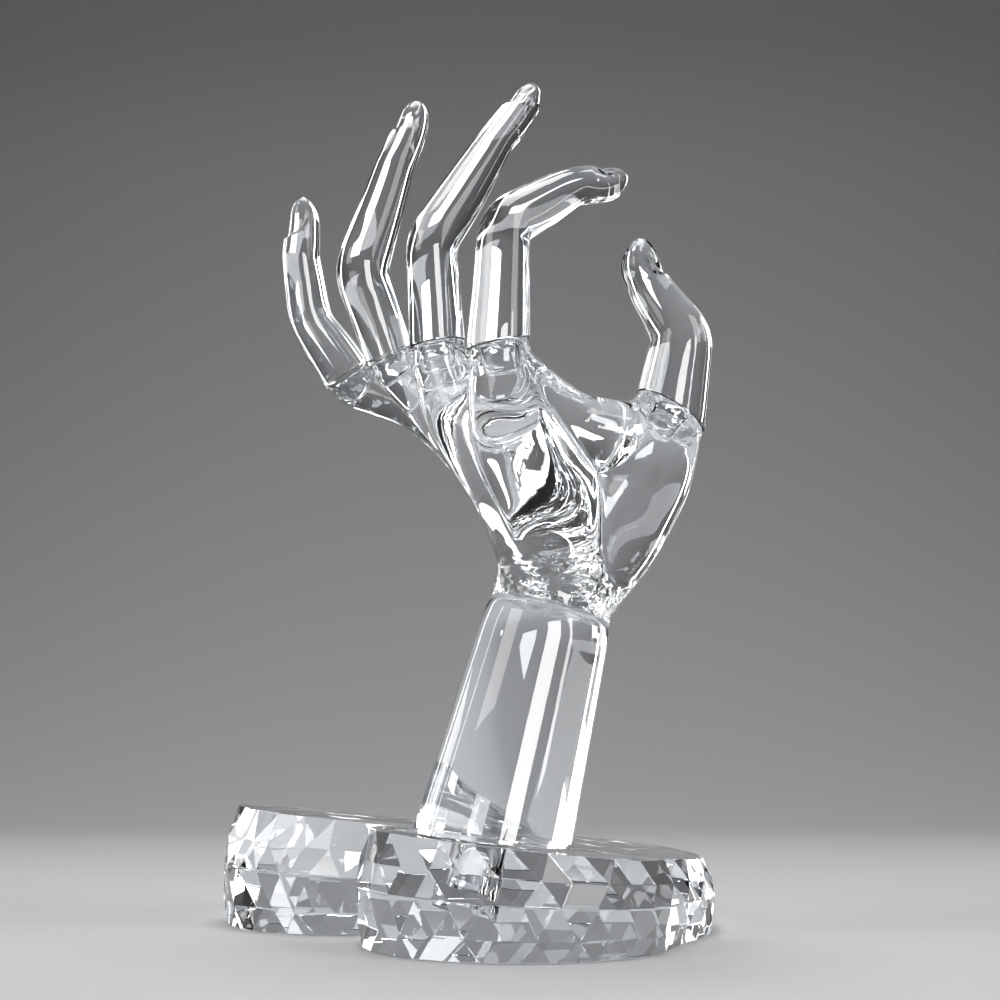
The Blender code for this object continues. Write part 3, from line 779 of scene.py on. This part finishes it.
def group_sockets(group, inputs, outputs):
    """Name the inputs and outputs of a node group."""
    for name, kind, value in inputs:
        group.interface.new_socket(name=name, in_out="INPUT", socket_type=kind).default_value = value
    for name, kind in outputs:
        group.interface.new_socket(name=name, in_out="OUTPUT", socket_type=kind)
    return group.nodes.new("NodeGroupInput"), group.nodes.new("NodeGroupOutput")


def combined(group, operation, first, second):
    """Output of a Math node that takes in two others."""
    node = group.nodes.new("ShaderNodeMath")
    node.operation = operation
    group.links.new(first, node.inputs[0])
    group.links.new(second, node.inputs[1])
    return node.outputs["Value"]


def polish_group():
    """Shared skin of polished acrylic: its hairlines and the slow waves of a cast surface."""
    group = bpy.data.node_groups.get("polished_skin")
    if group:
        return group
    group = bpy.data.node_groups.new("polished_skin", "ShaderNodeTree")
    entry, leave = group_sockets(group, (
        ("Tint", "NodeSocketColor", (*WHITE, 1.0)),
        ("Haze", "NodeSocketFloat", 0.0),
        ("Wave Size", "NodeSocketFloat", 60.0),
        ("Wave Depth", "NodeSocketFloat", 0.0),
        ("Hairlines", "NodeSocketFloat", 0.0),
    ), (("Color", "NodeSocketColor"), ("Roughness", "NodeSocketFloat"), ("Height", "NodeSocketFloat")))
    nodes, link = group.nodes, group.links.new
    place = nodes.new("ShaderNodeTexCoord")
    waves = nodes.new("ShaderNodeTexNoise")
    waves.inputs["Detail"].default_value = WAVE_DETAIL
    waves.inputs["Roughness"].default_value = WAVE_ROUGHNESS
    link(place.outputs["Object"], waves.inputs["Vector"])
    link(entry.outputs["Wave Size"], waves.inputs["Scale"])
    stretch = nodes.new("ShaderNodeMapping")
    stretch.inputs["Scale"].default_value = HAIRLINE_STRETCH
    stretch.inputs["Rotation"].default_value = HAIRLINE_TURN
    link(place.outputs["Object"], stretch.inputs["Vector"])
    lines = nodes.new("ShaderNodeTexNoise")
    lines.inputs["Scale"].default_value = 1.0
    link(stretch.outputs["Vector"], lines.inputs["Vector"])
    keen = nodes.new("ShaderNodeMapRange")
    keen.inputs["From Min"].default_value, keen.inputs["From Max"].default_value = HAIRLINE_CUT
    link(lines.outputs["Fac"], keen.inputs["Value"])
    scored = combined(group, "MULTIPLY", keen.outputs["Result"], entry.outputs["Hairlines"])
    link(combined(group, "ADD", scored, entry.outputs["Haze"]), leave.inputs["Roughness"])
    link(combined(group, "MULTIPLY", waves.outputs["Fac"], entry.outputs["Wave Depth"]), leave.inputs["Height"])
    cool = nodes.new("ShaderNodeMix")
    cool.data_type = "RGBA"
    cool.blend_type = "MULTIPLY"
    cool.inputs["B"].default_value = (*COOL, 1.0)
    link(waves.outputs["Fac"], cool.inputs["Factor"])
    link(entry.outputs["Tint"], cool.inputs["A"])
    link(cool.outputs["Result"], leave.inputs["Color"])
    return group


def acrylic(scene, name):
    """One of the acrylics by its name, made once."""
    material = bpy.data.materials.get(name)
    if material:
        return material
    shared, finish = scene.hand_finish, FINISHES[name]
    material = bpy.data.materials.new(name)
    material.use_nodes = True
    nodes, link = material.node_tree.nodes, material.node_tree.links.new
    shader = nodes["Principled BSDF"]
    shader.inputs["Metallic"].default_value = 0.0
    shader.inputs["IOR"].default_value = finish.bend or shared.bend
    shader.inputs["Transmission Weight"].default_value = finish.clear
    skin = nodes.new("ShaderNodeGroup")
    skin.node_tree = polish_group()
    for label, value in (("Tint", (*(finish.tint or shared.tint), 1.0)), ("Haze", shared.haze),
                         ("Wave Size", finish.wave_size), ("Wave Depth", finish.wave_depth),
                         ("Hairlines", finish.hairlines)):
        skin.inputs[label].default_value = value
    bump = nodes.new("ShaderNodeBump")
    bump.inputs["Distance"].default_value = MM
    link(skin.outputs["Color"], shader.inputs["Base Color"])
    link(skin.outputs["Roughness"], shader.inputs["Roughness"])
    link(skin.outputs["Height"], bump.inputs["Height"])
    link(bump.outputs["Normal"], shader.inputs["Normal"])
    return material


def coat(piece, material, *others):
    """Give a piece its material, and others to the faces that pass their tests, by the face's centre."""
    piece.data.materials.clear()
    for each in (material, *(other for other, _ in others)):
        piece.data.materials.append(each)
    for face in piece.data.polygons:
        centre = face.center / MM
        face.material_index = next((k for k, (_, test) in enumerate(others, 1) if test(centre)), 0)


# Stage

def lamp(name, place, target, wide, tall, power):
    """A soft box that faces its target."""
    data = bpy.data.lights.new(name, "AREA")
    data.shape = "RECTANGLE"
    data.size, data.size_y = wide, tall
    data.energy = power
    thing = bpy.data.objects.new(name, data)
    thing.location = place
    thing.rotation_euler = (Vector(target) - thing.location).to_track_quat("-Z", "Y").to_euler()
    thing.visible_camera = False
    bpy.context.scene.collection.objects.link(thing)
    return thing


def stage_material(stage):
    """Matt pale card with a faint mottle."""
    material = bpy.data.materials.new("pale_card")
    material.use_nodes = True
    nodes, link = material.node_tree.nodes, material.node_tree.links.new
    shader = nodes["Principled BSDF"]
    shader.inputs["Roughness"].default_value = CARD_ROUGHNESS
    shader.inputs["Specular IOR Level"].default_value = 0.0
    mottle = nodes.new("ShaderNodeTexNoise")
    mottle.inputs["Scale"].default_value = MOTTLE_SCALE
    place = nodes.new("ShaderNodeTexCoord")
    link(place.outputs["Object"], mottle.inputs["Vector"])
    mix = nodes.new("ShaderNodeMix")
    mix.data_type = "RGBA"
    mix.inputs["A"].default_value = (*stage.floor_colour, 1.0)
    mix.inputs["B"].default_value = (*(MOTTLE_SHADE * c for c in stage.floor_colour), 1.0)
    link(mottle.outputs["Fac"], mix.inputs["Factor"])
    link(mix.outputs["Result"], shader.inputs["Base Color"])
    return material


def make_floor(scene):
    """A seamless floor that bends up into the wall behind."""
    run = [(FLOOR_FRONT, 0.0), (WALL_BACK - WALL_BEND, 0.0)]
    for turn in np.linspace(0, math.pi / 2, BEND_POINTS)[1:]:
        run.append((WALL_BACK - WALL_BEND + WALL_BEND * math.sin(turn), WALL_BEND * (1 - math.cos(turn))))
    run.append((WALL_BACK, WALL_TOP))
    form = bmesh.new()
    for x in (-FLOOR_HALF_WIDTH, FLOOR_HALF_WIDTH):
        for y, z in run:
            form.verts.new((x, y, z - FLOOR_CLEARANCE))
    form.verts.ensure_lookup_table()
    count = len(run)
    for k in range(count - 1):
        form.faces.new((form.verts[k], form.verts[count + k], form.verts[count + k + 1], form.verts[k + 1]))
    floor = add_smooth("seamless_floor", form)
    coat(floor, stage_material(scene.hand_stage))


def make_lights(scene):
    """The cards in the acrylic, the soft boxes and the even light of the room."""
    for name, (way, distance, height, wide, tall, level) in CARDS.items():
        way = math.radians(way)
        place = (HAND[0] + distance * math.sin(way), HAND[1] + distance * math.cos(way), height)
        lamp(name, place, HAND, wide, tall, level * math.pi * wide * tall).visible_diffuse = False
    for name, (place, target, wide, tall, power) in LAMPS.items():
        lamp(name, place, target, wide, tall, power)
    world = bpy.data.worlds.new("room")
    world.use_nodes = True
    room = world.node_tree.nodes["Background"]
    room.inputs["Color"].default_value = (*WHITE, 1.0)
    room.inputs["Strength"].default_value = scene.hand_stage.room_level
    scene.world = world


def make_camera(scene):
    """The camera, placed as the photo's was."""
    stage = scene.hand_stage
    data = bpy.data.cameras.new("camera")
    data.sensor_width = SENSOR_WIDTH
    data.lens = stage.focal
    data.clip_start, data.clip_end = CAMERA_REACH
    camera = bpy.data.objects.new("camera", data)
    camera.location = stage.camera_place
    camera.rotation_euler = (math.pi / 2 + stage.camera_pitch, 0.0, 0.0)
    scene.collection.objects.link(camera)
    scene.camera = camera
    scene.view_settings.view_transform = "Standard"


# Operators

class PRACTICEHAND_OT_stand(bpy.types.Operator):
    """Build the cut heart stand"""
    bl_idname = "practice_hand.stand"
    bl_label = "Heart Stand"

    def execute(self, context):
        scene = context.scene
        coat(make_stand(scene), acrylic(scene, "cut_acrylic"))
        return {"FINISHED"}


class PRACTICEHAND_OT_arm(bpy.types.Operator):
    """Build the leaning arm"""
    bl_idname = "practice_hand.arm"
    bl_label = "Arm"

    def execute(self, context):
        scene = context.scene
        wrist, axis = wrist_centre(scene), arm_axis(scene.hand_arm)
        rim = (scene.hand_arm.top_radius - scene.hand_arm.shoulder) / MM

        def in_dish(point):
            over, aside = over_seat(point, wrist, axis)
            return -2.0 * WRIST_DISH < over < HAIR and aside < rim

        coat(make_arm(scene), acrylic(scene, "arm_acrylic"), (acrylic(scene, "cemented_wrist"), in_dish))
        return {"FINISHED"}


class PRACTICEHAND_OT_palm(bpy.types.Operator):
    """Build the palm"""
    bl_idname = "practice_hand.palm"
    bl_label = "Palm"

    def execute(self, context):
        scene = context.scene
        piece = make_palm(scene)
        gap = scene.hand_fits.seat_gap / MM
        bore, depth = (size + HAIR for size in socket_size(scene.hand_fits))
        wrist, axis = wrist_centre(scene), arm_axis(scene.hand_arm)
        seats = trimmed_seats(scene)

        def at_wrist(point):
            return abs((point - wrist).dot(axis) - gap) < HAIR

        def from_seats(point):
            return [(*over_seat(point, centre, outward), trim) for centre, outward, trim in seats]

        def on_seat(point):
            return any(abs(over) < HAIR and aside < trim for over, aside, trim in from_seats(point))

        def in_socket(point):
            return any(-depth < over < HAIR and aside < bore for over, aside, _ in from_seats(point))

        coat(piece, acrylic(scene, "palm_acrylic"), (acrylic(scene, "cemented_wrist"), at_wrist),
             (acrylic(scene, "cemented_seam"), on_seat), (acrylic(scene, "wetted_fit"), in_socket))
        return {"FINISHED"}


class PRACTICEHAND_OT_fingers(bpy.types.Operator):
    """Build the four fingers and the thumb"""
    bl_idname = "practice_hand.fingers"
    bl_label = "Fingers"

    def execute(self, context):
        scene = context.scene
        gap = scene.hand_fits.seat_gap / MM
        for name, finger in FINGERS.items():
            centre, outward = seat(scene, finger)
            coat(make_finger(scene, name), acrylic(scene, "finger_acrylic"),
                 (acrylic(scene, "wetted_fit"), lambda point: over_seat(point, centre, outward)[0] < gap - HAIR),
                 (acrylic(scene, "cemented_seam"), lambda point: over_seat(point, centre, outward)[0] < gap + HAIR))
        return {"FINISHED"}


class PRACTICEHAND_OT_stage(bpy.types.Operator):
    """Set up the floor, lamps and camera"""
    bl_idname = "practice_hand.stage"
    bl_label = "Stage"

    def execute(self, context):
        make_floor(context.scene)
        make_lights(context.scene)
        make_camera(context.scene)
        return {"FINISHED"}


OPERATORS = (PRACTICEHAND_OT_stand, PRACTICEHAND_OT_arm, PRACTICEHAND_OT_palm, PRACTICEHAND_OT_fingers,
             PRACTICEHAND_OT_stage)
SETTINGS = {
    "hand_stand": PracticeHandStandSettings,
    "hand_arm": PracticeHandArmSettings,
    "hand_fits": PracticeHandFitSettings,
    "hand_finish": PracticeHandFinishSettings,
    "hand_stage": PracticeHandStageSettings,
}


class PRACTICEHAND_PT_panel(bpy.types.Panel):
    """Sizes, finish and the build steps of the practice hand"""
    bl_label = "Practice Hand"
    bl_idname = "PRACTICEHAND_PT_panel"
    bl_space_type = "VIEW_3D"
    bl_region_type = "UI"
    bl_category = "Practice Hand"

    def draw(self, context):
        for operator in OPERATORS:
            self.layout.operator(operator.bl_idname)
        for key in SETTINGS:
            group = getattr(context.scene, key)
            box = self.layout.box()
            for name in group.__annotations__:
                box.prop(group, name)


def register():
    """Register the settings, the operators and the panel."""
    for key, group in SETTINGS.items():
        bpy.utils.register_class(group)
        setattr(bpy.types.Scene, key, PointerProperty(type=group))
    for operator in OPERATORS:
        bpy.utils.register_class(operator)
    bpy.utils.register_class(PRACTICEHAND_PT_panel)


def unregister():
    """Take away what register added."""
    bpy.utils.unregister_class(PRACTICEHAND_PT_panel)
    for operator in reversed(OPERATORS):
        bpy.utils.unregister_class(operator)
    for key, group in reversed(SETTINGS.items()):
        delattr(bpy.types.Scene, key)
        bpy.utils.unregister_class(group)


def main():
    """Build every piece and the stage."""
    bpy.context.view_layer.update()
    register()
    bpy.ops.practice_hand.stand()
    bpy.ops.practice_hand.arm()
    bpy.ops.practice_hand.palm()
    bpy.ops.practice_hand.fingers()
    bpy.ops.practice_hand.stage()


if __name__ == "__main__":
    main()
